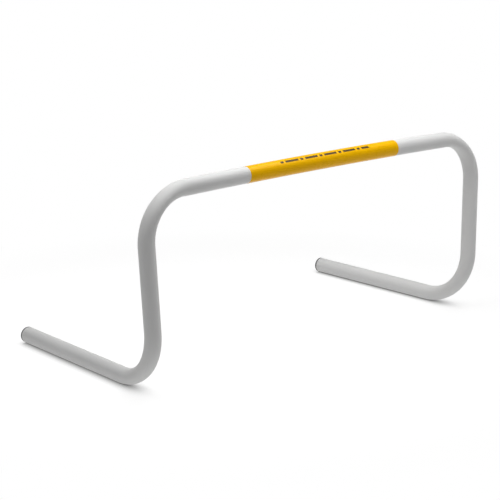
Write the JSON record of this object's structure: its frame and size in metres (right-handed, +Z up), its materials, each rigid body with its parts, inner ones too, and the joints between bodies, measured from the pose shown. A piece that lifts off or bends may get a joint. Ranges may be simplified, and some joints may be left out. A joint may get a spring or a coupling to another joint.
{
  "type": "mini hurdle",
  "caption": "Low training hurdle: a bent white plastic tube that makes the crossbar, legs and feet, with a yellow wrap label on the bar and rubber plugs in the ends of the feet.",
  "frame": {"origin": "centre of the bounding box at floor level", "axes": "+X along the crossbar, +Y the way the feet point, back from the bar, +Z up"},
  "size_m": [0.7106, 0.351, 0.3111],
  "materials": {
    "white_tube": "satin white extruded plastic, bent warm",
    "yellow_film": "smooth yellow film wrapped round the bar",
    "black_rubber": "matt moulded rubber"
  },
  "bodies": {
    "root": {"hurdle_tube": "white_tube", "wrap_label": "yellow_film", "left_end_plug": "black_rubber", "right_end_plug": "black_rubber"}
  },
  "joints": []
}
